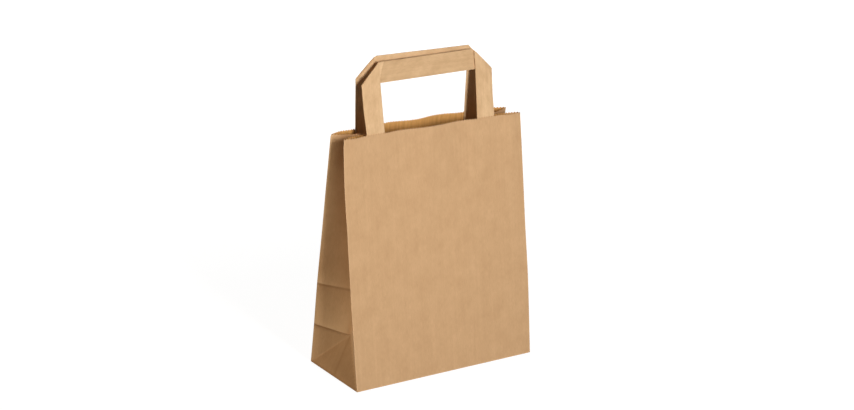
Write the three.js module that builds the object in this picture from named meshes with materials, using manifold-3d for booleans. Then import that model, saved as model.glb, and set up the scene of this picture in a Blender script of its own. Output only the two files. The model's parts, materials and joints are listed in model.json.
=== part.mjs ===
// Paper carrier bag with flat folded handles: a gusseted kraft tube with a block bottom,
// standing open by itself. Millimetres, +Z up, front towards -Y, origin under the middle of the base.

import * as THREE from "three";
import { mergeVertices } from "three/addons/utils/BufferGeometryUtils.js";
import Module from "manifold-3d";

// Driving dimensions: the bag's sheet and its stance
const bagWidth = 180;
const bagDepth = 80;
const panelHeight = 220; // along the panel's slope, from the base fold to the mouth
const paper = 0.15; // one layer of kraft paper
const frontMouth = 13.5; // front mouth edge ahead of the base's middle, at the side folds
const backMouth = 8.3; // back mouth edge behind the base's middle, at the side folds
const frontBow = 3; // how far each mouth edge bows backwards at its middle
const backBow = 5.5;

// Driving dimensions: the side gussets and the pressed creases
const gussetSlack = 1.2; // half a gusset is slightly curved, so it spans this much less than its width
const gussetFold = 0.6; // width of the rounded middle fold
const cornerTuck = 1; // the diagonal creases start this far from the base corners
const creaseDrop = 3.5; // the fold-flat crease lies this much below half the depth
const pressDrop = 3; // the upper pressed line lies this much below the full depth
const creaseDent = 1.2; // how far the back panel stays bent in at the fold-flat crease
const apexDrop = 1.7; // the middle fold lies this much lower than the side folds at that crease
const mouthDrop = 5; // and this much lower at the mouth

// Driving dimensions: the base flaps and the lap seam
const baseLayers = 3;
const flapOverlap = 20; // the two long flaps overlap by this much
const flapGap = 0.4; // shadow gap along the outer flap's edge
const seamColumn = 3; // the panel column, counted from the side, that carries the lap seam

// Driving dimensions: the handles and the patches that hold them
const stripWidth = 17.5;
const stripThickness = 0.7; // several plies of paper
const handleInset = 25; // from the bag's side fold to the handle's outer edge
const handleReach = 102.5; // from the glued foot to the top, the same for both handles
const frontHandleRise = 59.6; // above the mouth
const rearHandleRise = 61.7;
const foldGap = 0.4; // air between the two layers at a folded corner
const frontHandleShift = -2; // off the panel's middle, seen from outside
const rearHandleShift = 0;
const frontHandleLean = 9.5; // degrees, towards the other handle
const rearHandleLean = 1.5;
const patchDrop = 10; // the patch starts this far below the mouth
const patchHeight = 42;
const patchMargin = 10; // the patch reaches this far past the handle's legs on each side
const patchRamp = 3; // width of the patch's slope beside a leg
const glueGap = 0.3;

// Fineness of the surfaces
const panelColumns = 12;
const upperRows = 4;
const cornerRows = 2;
const bendSteps = 4;

// Sizes that follow from the driving dimensions
const halfWidth = bagWidth / 2;
const halfDepth = bagDepth / 2;
const gussetReach = halfDepth - gussetSlack;
const creaseHeight = halfDepth - creaseDrop;
const pressHeight = bagDepth - pressDrop;
const baseThickness = baseLayers * paper;
const halfSpan = halfWidth - handleInset;
const legDepth = paper + glueGap + stripThickness / 2;
const front = makePanel(-1, frontMouth, frontBow, 0);
const back = makePanel(1, backMouth, backBow, creaseDent);

const wasm = await Module();
wasm.setup();

// The big panels

function makePanel(side, mouth, bow, dent) {
  const lean = Math.asin((halfDepth - mouth) / panelHeight);
  return { side, bow, dent, lean };
}

function dentShare(rise) {
  if (rise < creaseHeight) return rise / creaseHeight;
  return Math.max(0, (pressHeight - rise) / (pressHeight - creaseHeight));
}

// A point of a panel: across it from left to right seen from outside, up its slope, inward from its face.
function panelPoint(panel, across, rise, inward = 0) {
  const middle = 1 - (across / halfWidth) ** 2;
  const bow = panel.bow * middle * (rise / panelHeight) ** 2;
  const bent = panel.dent * dentShare(rise);
  const out = halfDepth - rise * Math.sin(panel.lean) - bent - inward * Math.cos(panel.lean);
  const z = rise * Math.cos(panel.lean) - inward * Math.sin(panel.lean);
  return new THREE.Vector3(-panel.side * across, panel.side * out + bow, z);
}

function columnAt(index) {
  return -halfWidth + (index * bagWidth) / panelColumns;
}

function panelRow(panel, rise) {
  const row = [];
  for (let i = 0; i <= panelColumns; i++) row.push(panelPoint(panel, columnAt(i), rise));
  return row;
}

// The side gussets: folded in along the middle above the crease, a sloping triangle below it.

function gussetEdges(side, rise) {
  return [panelPoint(front, side * halfWidth, rise), panelPoint(back, -side * halfWidth, rise)];
}

function gussetPair(side, rise) {
  if (rise < creaseHeight) {
    const [frontCorner, backCorner] = gussetEdges(side, 0);
    const [frontApex, backApex] = gussetPair(side, creaseHeight);
    frontCorner.y += cornerTuck;
    backCorner.y -= cornerTuck;
    const share = rise / creaseHeight;
    return [frontCorner.lerp(frontApex, share), backCorner.lerp(backApex, share)];
  }
  const [frontEdge, backEdge] = gussetEdges(side, rise);
  const halfGap = frontEdge.distanceTo(backEdge) / 2;
  const fold = frontEdge.lerp(backEdge, 0.5);
  const upShare = (rise - creaseHeight) / (panelHeight - creaseHeight);
  const drop = THREE.MathUtils.lerp(apexDrop, mouthDrop, upShare);
  fold.x -= side * Math.sqrt(gussetReach ** 2 - halfGap ** 2 - drop ** 2);
  fold.z -= drop;
  const halfFold = new THREE.Vector3(0, gussetFold / 2, 0);
  return [fold.clone().sub(halfFold), fold.clone().add(halfFold)];
}

// One turn round the tube, anticlockwise from above.
function tubeRing(rise) {
  const [rightFront, rightBack] = gussetPair(1, rise);
  const [leftFront, leftBack] = gussetPair(-1, rise);
  return [...panelRow(front, rise), rightFront, rightBack, ...panelRow(back, rise), leftBack, leftFront];
}

// The same turn moved inwards, square to each wall.
function insetRing(ring, distance) {
  const normals = ring.map((point, i) => {
    const next = ring[(i + 1) % ring.length];
    return new THREE.Vector2(point.y - next.y, next.x - point.x).normalize();
  });
  return ring.map((point, i) => {
    const before = normals[(i + ring.length - 1) % ring.length];
    const after = normals[i];
    const step = before.clone().add(after);
    step.multiplyScalar(distance / (1 + before.dot(after)));
    return new THREE.Vector3(point.x + step.x, point.y + step.y, point.z);
  });
}

// Solids

// A closed skin through rings of equally many points, with a fan over each end. The faces that inside
// picks are the inner side of a thin wall, and their diagonals lie right behind the outer side's.
function loft(rings, inside) {
  const count = rings[0].length;
  const points = rings.flat();
  const faces = [];
  for (let r = 0; r + 1 < rings.length; r++) {
    for (let i = 0; i < count; i++) {
      const a = r * count + i;
      const b = r * count + ((i + 1) % count);
      if (inside(r, i)) faces.push(a, b, a + count, b, b + count, a + count);
      else faces.push(a, b, b + count, a, b + count, a + count);
    }
  }
  const last = (rings.length - 1) * count;
  const startMiddle = points.push(meanPoint(rings[0])) - 1;
  const endMiddle = points.push(meanPoint(rings.at(-1))) - 1;
  for (let i = 0; i < count; i++) {
    const next = (i + 1) % count;
    faces.push(startMiddle, next, i, endMiddle, last + i, last + next);
  }
  const geometry = new THREE.BufferGeometry().setFromPoints(points);
  return geometry.setIndex(faces);
}

// In a strip's rings of four points the last two lie on its inner side.
function innerSide(ring, point) {
  return point >= 2;
}

function meanPoint(points) {
  const sum = points.reduce((total, point) => total.add(point), new THREE.Vector3());
  return sum.divideScalar(points.length);
}

function solidOf(geometry) {
  const bare = geometry.clone();
  bare.deleteAttribute("normal");
  bare.deleteAttribute("uv");
  const merged = mergeVertices(bare);
  const vertProperties = new Float32Array(merged.attributes.position.array);
  const triVerts = new Uint32Array(merged.index.array);
  return new wasm.Manifold(new wasm.Mesh({ numProp: 3, vertProperties, triVerts }));
}

function geometryOf(solid) {
  const mesh = solid.getMesh();
  const geometry = new THREE.BufferGeometry();
  geometry.setAttribute("position", new THREE.BufferAttribute(mesh.vertProperties, 3));
  geometry.setIndex(new THREE.BufferAttribute(mesh.triVerts, 1));
  geometry.computeVertexNormals();
  return geometry;
}

function outline(points) {
  return new THREE.Shape(points.map(([x, y]) => new THREE.Vector2(x, y)));
}

// The bag's body: one sheet, so tube, base flaps and lap seam are one solid.

function wallRises() {
  const rises = [];
  for (let i = 1; i <= cornerRows; i++) rises.push((creaseHeight * i) / cornerRows);
  const upperHeight = panelHeight - pressHeight;
  for (let i = 0; i <= upperRows; i++) rises.push(pressHeight + (upperHeight * i) / upperRows);
  return rises;
}

function makeTube() {
  const outer = [0, ...wallRises()].map(tubeRing);
  const inner = [baseThickness, ...wallRises()].map((rise) => insetRing(tubeRing(rise), paper));
  return solidOf(loft([...outer, ...inner.reverse()], (ring) => ring >= outer.length));
}

function makeSeam() {
  const left = columnAt(seamColumn);
  const right = columnAt(seamColumn + 1);
  const rings = [paper, ...wallRises()].map((rise) => [
    panelPoint(back, left, rise, -paper),
    panelPoint(back, right, rise, -paper),
    panelPoint(back, right, rise, paper / 2),
    panelPoint(back, left, rise, paper / 2),
  ]);
  return solidOf(loft(rings, innerSide));
}

// Under the base, the gusset paper shows one layer up between the slanted ends of the long flaps.
function makeBaseRecess() {
  const reach = halfWidth - halfDepth;
  const tip = flapOverlap / 2;
  const past = 1;
  const side = [[-halfWidth - past, -halfDepth - past], [-reach, 0], [-halfWidth - past, halfDepth + past]];
  const edge = [[-reach - past, past], [tip - reach, -tip], [reach - tip, -tip], [reach + past, past]];
  const lip = edge.map(([x, y]) => [x, y - flapGap]);
  const left = outline(side);
  const right = outline(side.map(([x, y]) => [-x, y]));
  const flapEdge = outline([...edge, ...lip.reverse()]);
  const layer = { depth: past + paper, bevelEnabled: false };
  const cuts = [left, right, flapEdge].map((shape) => {
    const cut = new THREE.ExtrudeGeometry(shape, layer);
    cut.translate(0, 0, -past);
    return solidOf(cut);
  });
  return cuts[0].add(cuts[1]).add(cuts[2]);
}

function makeBody() {
  const sheet = makeTube().add(makeSeam());
  return geometryOf(sheet.subtract(makeBaseRecess()));
}

// A handle: one flat strip, glued inside the panel and folded over at 45 degrees at both top corners.

function makeHandle(panel, handleRise, leanDegrees, shift) {
  const lean = THREE.MathUtils.degToRad(leanDegrees);
  const feet = [-1, 1].map((end) => {
    const legMiddle = shift + end * (halfSpan - stripWidth / 2);
    return panelPoint(panel, legMiddle, panelHeight, legDepth);
  });
  const foot = meanPoint(feet);
  const up = new THREE.Vector3(0, -panel.side * Math.sin(lean), Math.cos(lean));
  const inwards = new THREE.Vector3(0, -panel.side * Math.cos(lean), -Math.sin(lean));
  const planePoint = (across, rise, inward) => {
    const point = new THREE.Vector3(-panel.side * across, foot.y, foot.z);
    return point.addScaledVector(up, rise).addScaledVector(inwards, inward);
  };

  const legRing = (end, rise) => {
    const outside = shift + end * halfSpan;
    const inside = outside - end * stripWidth;
    const outer = legDepth - stripThickness / 2;
    const inner = legDepth + stripThickness / 2;
    return [
      panelPoint(panel, outside, rise, outer),
      panelPoint(panel, inside, rise, outer),
      panelPoint(panel, inside, rise, inner),
      panelPoint(panel, outside, rise, inner),
    ];
  };

  const bendRadius = (stripThickness + foldGap) / 2;
  const outerRadius = bendRadius + stripThickness / 2;
  const innerRadius = bendRadius - stripThickness / 2;
  const bendRing = (end, angle) => {
    const slide = (bendRadius * angle) / Math.SQRT2;
    const bendPoint = (edge, radius) => {
      const swing = (radius * Math.sin(angle)) / Math.SQRT2;
      const across = shift + end * (halfSpan - edge * stripWidth - slide + swing);
      const low = handleRise - stripWidth - outerRadius * Math.SQRT2;
      const rise = low + edge * stripWidth + slide + swing;
      return planePoint(across, rise, bendRadius - radius * Math.cos(angle));
    };
    return [bendPoint(0, outerRadius), bendPoint(1, outerRadius), bendPoint(1, innerRadius), bendPoint(0, innerRadius)];
  };

  const halfRings = (end) => {
    const tuck = handleReach - handleRise;
    const rises = [panelHeight - tuck, panelHeight - tuck / 2, panelHeight];
    const rings = rises.map((rise) => legRing(end, rise));
    for (let i = 0; i <= bendSteps; i++) rings.push(bendRing(end, (Math.PI * i) / bendSteps));
    return rings;
  };
  return loft([...halfRings(-1), ...halfRings(1).reverse()], innerSide);
}

// A paper patch over both glued legs: flat on the panel, raised over each leg.

function makePatch(panel, shift) {
  const halfPatch = halfSpan + patchMargin;
  const raised = stripThickness + glueGap;
  const legOut = halfSpan + glueGap;
  const legIn = halfSpan - stripWidth - glueGap;
  const half = [
    [halfPatch, 0],
    [legOut + patchRamp, 0],
    [legOut, raised],
    [legIn, raised],
    [legIn - patchRamp, 0],
    [(legIn - patchRamp) / 2, 0],
  ];
  const mirrored = half.map(([across, lift]) => [-across, lift]);
  const stations = [...mirrored, [0, 0], ...half.reverse()];
  const high = panelHeight - patchDrop;
  const low = high - patchHeight;
  const rings = stations.map(([across, lift]) => {
    const outer = paper + glueGap + lift;
    const inner = outer + paper;
    return [
      panelPoint(panel, shift + across, low, outer),
      panelPoint(panel, shift + across, low, inner),
      panelPoint(panel, shift + across, high, inner),
      panelPoint(panel, shift + across, high, outer),
    ];
  });
  return loft(rings, innerSide);
}

// The assembly

const bag = new THREE.Group();

function addPiece(name, geometry, color, roughness) {
  const material = new THREE.MeshStandardMaterial({ color, roughness, metalness: 0 });
  const mesh = new THREE.Mesh(geometry, material);
  mesh.name = name;
  bag.add(mesh);
}

addPiece("bag_body", makeBody(), "#d0a87d", 0.85);
addPiece("front_handle", makeHandle(front, frontHandleRise, frontHandleLean, frontHandleShift), "#deb88c", 0.8);
addPiece("rear_handle", makeHandle(back, rearHandleRise, rearHandleLean, rearHandleShift), "#deb88c", 0.8);
addPiece("front_handle_patch", makePatch(front, frontHandleShift), "#c9a077", 0.85);
addPiece("rear_handle_patch", makePatch(back, rearHandleShift), "#c9a077", 0.85);

export default bag;
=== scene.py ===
"""Paper carrier bag with flat folded handles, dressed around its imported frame.

Metres, +Z up, the front panel faces -Y and the bag stands on the plane of the floor.
"""

import json
import math
from collections import namedtuple

import bmesh
import bpy
from bpy.props import FloatProperty, FloatVectorProperty, PointerProperty
from mathutils import Matrix, Vector, noise


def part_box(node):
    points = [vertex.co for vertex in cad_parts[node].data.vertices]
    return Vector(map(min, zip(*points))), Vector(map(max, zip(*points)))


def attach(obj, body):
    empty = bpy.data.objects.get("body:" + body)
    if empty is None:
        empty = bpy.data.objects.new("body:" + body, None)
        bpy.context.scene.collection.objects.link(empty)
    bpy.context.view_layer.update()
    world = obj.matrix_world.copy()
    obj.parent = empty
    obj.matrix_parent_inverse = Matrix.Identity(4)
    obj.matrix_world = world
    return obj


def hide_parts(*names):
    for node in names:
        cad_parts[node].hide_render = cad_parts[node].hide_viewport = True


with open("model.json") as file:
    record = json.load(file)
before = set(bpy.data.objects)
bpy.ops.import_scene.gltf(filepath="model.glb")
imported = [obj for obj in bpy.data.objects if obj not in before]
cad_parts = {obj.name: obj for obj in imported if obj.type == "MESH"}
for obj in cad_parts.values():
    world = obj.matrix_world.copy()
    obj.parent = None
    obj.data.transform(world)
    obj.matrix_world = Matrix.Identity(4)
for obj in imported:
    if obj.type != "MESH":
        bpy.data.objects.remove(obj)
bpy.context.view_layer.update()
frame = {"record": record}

BODY_LOW, BODY_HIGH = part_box("bag_body")
SLOT_COLOURS = {entry["slot"]: entry["base_color"] for entry in frame["record"]["materials"]}
MM = 0.001

bl_info = {
    "name": "Paper Carrier Bag",
    "version": (1, 0, 0),
    "blender": (4, 5, 0),
    "location": "View3D > Sidebar > Paper Bag",
    "description": "Folds a kraft carrier bag with flat handles around its packed frame",
    "category": "Add Mesh",
}


# Settings


def size(name, millimetres, description):
    """A length that the panel shows in the scene's units."""
    return FloatProperty(
        name=name, description=description, default=millimetres * MM, unit="LENGTH", precision=5
    )


def tilt(name, degrees, description):
    """An angle that the panel shows in degrees."""
    return FloatProperty(
        name=name, description=description, default=math.radians(degrees), unit="ROTATION"
    )


def tone(name, colour, description):
    """A paper colour."""
    return FloatVectorProperty(
        name=name, description=description, default=colour, subtype="COLOR", min=0.0, max=1.0
    )


def light_level(name, level, description):
    """How bright a light is, 1 showing paper that faces it in its own colour."""
    return FloatProperty(name=name, description=description, default=level, subtype="FACTOR")


class BAG_PG_sheet(bpy.types.PropertyGroup):
    """The sheet that the bag's body is folded from."""

    width: size("Width", (BODY_HIGH.x - BODY_LOW.x) / MM, "Between the side folds")
    depth: size("Depth", -2 * BODY_LOW.y / MM, "Of the base, from front to back")
    height: size("Panel height", 220, "Along a panel's slope, from the base fold to the mouth")
    paper: size("Paper", 0.15, "Thickness of one layer")
    front_mouth: size("Front mouth", 13, "Front mouth edge ahead of the base's middle")
    back_mouth: size("Back mouth", 8.3, "Back mouth edge behind the base's middle")
    front_bow: size("Front bow", 0.8, "How far the front mouth edge bows backwards")
    back_bow: size("Back bow", 5.2, "How far the back mouth edge bows backwards")
    gusset_reach: size("Gusset reach", 38.8, "Straight line across half a gusset")
    crease_height: size("Fold-flat crease", 39.4, "Height of the crease that the base folds up along")
    press_height: size("Pressed line", 79.6, "Height of the line that the folded base has pressed")
    fold_bow: size("Fold bow", 1.1, "How far the front's side folds stand out at half height")
    crease_dent: size("Crease dent", 0.4, "How far the back panel stays bent in at the crease")
    apex_drop: size("Apex drop", 2.7, "Middle fold below the side folds at the crease")
    mouth_drop: size("Mouth drop", 1.8, "Middle fold below the side folds at the mouth")
    flap: size("Flap", 50, "Depth of the base flaps")
    lap: size("Lap seam", 15, "Width of the glued lap down the back panel")
    tooth_pitch: size("Tooth pitch", 2.5, "From tooth to tooth along the cut mouth")
    tooth_depth: size("Tooth depth", 1.2, "Of the cut mouth's teeth")
    colour: tone("Outside", SLOT_COLOURS["kraft_sheet"], "Glazed outer side of the kraft paper")
    # The inside colour is partly the inner side's own, and partly deeper orange as painted light,
    # standing in for warm light shining through the paper and bouncing inside the bag
    inside_colour: tone("Inside", (0.64, 0.335, 0.105), "Rough inner side of the kraft paper")


class BAG_PG_handles(bpy.types.PropertyGroup):
    """The two folded paper strips that the bag is carried by."""

    strip_width: size("Strip width", 17.7, "Of the flat strip")
    strip_thickness: size("Strip thickness", 0.7, "Of all the strip's plies")
    front_inset: size("Front inset", 24.2, "From the bag's side fold to the front handle's outer edge")
    rear_inset: size("Rear inset", 25, "From the bag's side fold to the rear handle's outer edge")
    reach: size("Reach", 102.5, "From the glued foot to the top edge")
    front_rise: size("Front rise", 59.65, "Front handle's top edge above the mouth")
    rear_rise: size("Rear rise", 63.1, "Rear handle's top edge above the mouth")
    fold_gap: size("Fold gap", 0.4, "Air between the two layers at a folded corner")
    glue: size("Glue", 0.3, "Film between panel, strip and patch")
    front_shift: size("Front shift", -1.65, "Front handle off the panel's middle, seen from outside")
    rear_shift: size("Rear shift", -0.9, "Rear handle off the panel's middle, seen from outside")
    front_lean: tilt("Front lean", 9.5, "Of the front handle towards the rear one")
    rear_lean: tilt("Rear lean", 5.8, "Of the rear handle towards the front one")
    front_slant: tilt("Front slant", 0.35, "Of the front handle to the right, seen from outside")
    rear_slant: tilt("Rear slant", 2.75, "Of the rear handle to the right, seen from outside")
    front_splay: tilt("Front splay", 1.5, "How far the front handle's legs close towards their feet")
    rear_splay: tilt("Rear splay", 0.7, "How far the rear handle's legs close towards their feet")
    twist: tilt("Twist", 3.3, "How far the front handle's legs turn their outer edges back")
    front_tilt: tilt("Front tilt", 0.3, "Of the front handle's bar, up to the right seen from outside")
    rear_tilt: tilt("Rear tilt", 0.7, "Of the rear handle's bar, up to the right seen from outside")
    colour: tone("Strip", SLOT_COLOURS["kraft_strip"], "Outer side of the handles' paper")
    reverse_colour: tone("Reverse", (0.655, 0.425, 0.23), "Other side, which the folded bar shows")


class BAG_PG_patches(bpy.types.PropertyGroup):
    """The paper patches glued over the handles' legs."""

    drop: size("Drop", 10, "From the mouth to the patch")
    height: size("Height", 42, "Of the patch")
    margin: size("Margin", 10, "Past the handle's legs on each side")
    ramp: size("Ramp", 3, "Width of the slope beside a leg")
    colour: tone("Patch", SLOT_COLOURS["kraft_patch"], "Kraft paper of the patches")


class BAG_PG_stage(bpy.types.PropertyGroup):
    """Camera, floor and lamps."""

    camera_place: FloatVectorProperty(
        name="Camera", description="Where the camera stands", subtype="TRANSLATION",
        default=(-0.9246, -1.4204, 0.7012),
    )
    camera_yaw: tilt("Yaw", 33.15, "Camera's turn to the right of the bag's depth")
    camera_pitch: tilt("Pitch", 18.24, "Camera's tilt downwards")
    camera_roll: tilt("Roll", 1.28, "Camera's turn about its own line of sight")
    lens: FloatProperty(
        name="Lens", description="Focal length on a 36 mm wide sensor", default=86.44, unit="CAMERA"
    )
    key_level: light_level("Key", 0.87, "Level of the frontal lamp")
    side_level: light_level("Side", 0.37, "Level of the lamp on the left")
    back_level: light_level("Back", 0.5, "Level of the lamp behind the bag")
    dome_level: light_level("Dome", 0.04, "Level of the light from all round")


# Where the paper lies

FRONT, BACK = -1, 1
LEFT, RIGHT = -1, 1
PANELS = ("front", "back", "back_end")
Panel = namedtuple("Panel", "side bow dent sine cosine seed ripple")

# Numbers of the six folds along the tube, counted from the lap seam
REAR_FOLDS = (0, 5)
MIDDLE_FOLDS = (1, 4)

# Distances below which two places are the same
HAIR = 1e-7
ON_LINE = 2e-6

# Rounding of the folds: the rear side folds grow soft from a height on, over a length
FOLD_RADIUS = 0.35 * MM
SOFT_CORNER = 1.0 * MM
SOFT_RISE = (150 * MM, 70 * MM)

# The paper's own waves: how high, and how far apart across and up the paper
Wave = namedtuple("Wave", "height wide tall")
LONG_WAVE = Wave(height=0.45 * MM, wide=52 * MM, tall=85 * MM)
SHORT_WAVE = Wave(height=0.1 * MM, wide=18 * MM, tall=34 * MM)
GUSSET_WAVE = Wave(height=0.25 * MM, wide=30 * MM, tall=50 * MM)
STRIP_WAVE = Wave(height=0.35 * MM, wide=30 * MM, tall=30 * MM)
WAVE_FOOT = 40 * MM
FRONT_SEED, BACK_SEED, GUSSET_SEED = 3.7, 11.3, 5.0
SHORT_SEED, STRIP_SEED = 7.0, 2.0

# The mouth's edge between a handle's legs: crest and middle are places in x
Ripple = namedtuple("Ripple", "height lift pitch crest middle reach")
FRONT_RIPPLE = Ripple(
    height=1.5 * MM, lift=-0.1 * MM, pitch=59.6 * MM, crest=-32 * MM, middle=-2 * MM, reach=47 * MM
)
BACK_RIPPLE = Ripple(
    height=2.0 * MM, lift=1.2 * MM, pitch=50 * MM, crest=22.5 * MM, middle=6 * MM, reach=46 * MM
)
RIPPLE_FADE = 13 * MM

# Between a side fold and a handle's leg
CORNER = 22 * MM
CORNER_SWELL = 1.8 * MM

# Shares of the height where the mouth's forms start, and over which they grow
RIPPLE_RISE = (0.6, 0.4)
CORNER_RISE = (0.7, 0.3)

# Where side folds bulge out, and where they turn in at the mouth, by panel and hand
Hump = namedtuple("Hump", "low high out")
FOLD_HUMPS = {
    (FRONT, LEFT): Hump(low=135 * MM, high=217 * MM, out=0.75 * MM),
    (BACK, LEFT): Hump(low=0.0, high=150 * MM, out=0.5 * MM),
}
TurnIn = namedtuple("TurnIn", "height deep")
TURN_INS = {
    (FRONT, LEFT): TurnIn(height=10 * MM, deep=0.9 * MM),
    (BACK, LEFT): TurnIn(height=4 * MM, deep=0.8 * MM),
}

# The base's front right corner stands out, up to a height and fading over a length
FLARE = 1.25 * MM
FLARE_FADE = (60 * MM, 70 * MM)

# The gussets: their bulge, a third of the way across, grows from a height on, over a length
OPENING = 40 * MM
BULGE = 0.9 * MM
BULGE_GAIN = 1.3 * MM
BULGE_RISE = (120 * MM, 100 * MM)
BULGE_PEAK = 27 / 4

# Pressed creases: how high they swell, how far up that runs out and how fast it drops below
Swell = namedtuple("Swell", "height run drop")
CREASE_SWELL = Swell(height=1.8 * MM, run=14 * MM, drop=3 * MM)
PRESS_SWELL = Swell(height=1.0 * MM, run=9 * MM, drop=3 * MM)
SWELL_CLEAR = 5 * MM
SWELL_START = 2 * MM

# The flattened crease down the end triangles
VALLEY_DEPTH = 0.12 * MM
VALLEY_WIDTH = 9 * MM
VALLEY_FOOT = 4 * MM
VALLEY_HEAD = 12 * MM

# The layers under the base and at the lap seam
LAYER = 0.2 * MM
FLAP_OVERLAP = (25 * MM, 4 * MM)
FLAP_BEND = 1.5 * MM
TURNED_LIFT = 1.9 * LAYER
END_LIFT = 3.1 * LAYER
LAP_LIFT = 0.9 * LAYER
LAP_RAMP = 3 * MM
LAP_LEAD = 4 * MM
LAP_FOOT = 5 * MM

# Tones of lines in the paper: above 0 lighter, as on rubbed folds; below 0 darker, along flattened
# middle folds and as painted shadow at the floor and beside the lap's edge
Mark = namedtuple("Mark", "level width")
RUBBED_FOLD = Mark(1.0, 0.55 * MM)
RUBBED_DIAGONAL = Mark(0.2, 1.2 * MM)
FLAT_CREASE = Mark(-0.45, 1.2 * MM)
# Painted shadow along the gussets' foot where they meet the floor
FLOOR_SHADOW = Mark(-1.6, 1.1 * MM)
LAP_EDGE = Mark(0.9, 0.8 * MM)
LAP_SHADE = Mark(-1.5, 0.5 * MM)
LAP_SHADE_GAP = 0.5 * MM
# Painted shade over the end triangles under the gussets, fading in from their diagonal crease
TRIANGLE_SHADE = -1.1
TRIANGLE_FADE = 3 * MM

# Painted highlight above a gusset's pressed creases and painted shade in their grooves and below them.
# On the way in to the middle fold, from one share of it on, over another, the lower one loses its
# groove's painted shade and gains painted light, and the painted shade below both fades
CreaseShading = namedtuple("CreaseShading", "crest light run_up reach groove run_down")
GROOVE_DROP = 1.4 * MM
GROOVE_WIDTH = 1.2 * MM
GROOVE_LOSS = (0.45, 0.4)
LIGHT_GAIN = (0.2, 0.25)
SHADE_BELOW, SHADE_BELOW_FADE = -1.1, 1.1

# Painted light on a gusset's back half beside its side fold, and painted shade lower beside it and
# behind it: heights, and lengths to fade over
LIT_STRIP = 5.5 * MM
LIT_RISE = (115 * MM, 30 * MM)
DIM_RISE = (80 * MM, 10 * MM)
DIM_END = (95 * MM, 25 * MM)
SHADE_RISE = (175 * MM, 30 * MM)
SHADE_END = 36 * MM
SHADE_FADE = 16 * MM
LIT_TONE, DIM_TONE, SHADE_TONE = 1.8, -0.9, -1.7


def soft_step(share):
    """0 to 1 with a smooth start and end."""
    share = min(1.0, max(0.0, share))
    return share * share * (3.0 - 2.0 * share)


def rising(value, start, over):
    """0 up to a start, then smoothly up to 1 over a length."""
    return soft_step((value - start) / over)


def paper_wave(wave, across, rise, seed):
    """How far the paper's own wave lifts it at a place."""
    return wave.height * noise.noise(Vector((across / wave.wide, rise / wave.tall, seed)))


def mark_at(mark, distance):
    """The tone of a line at a distance from it."""
    return mark.level * math.exp(-((distance / mark.width) ** 2))


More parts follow.
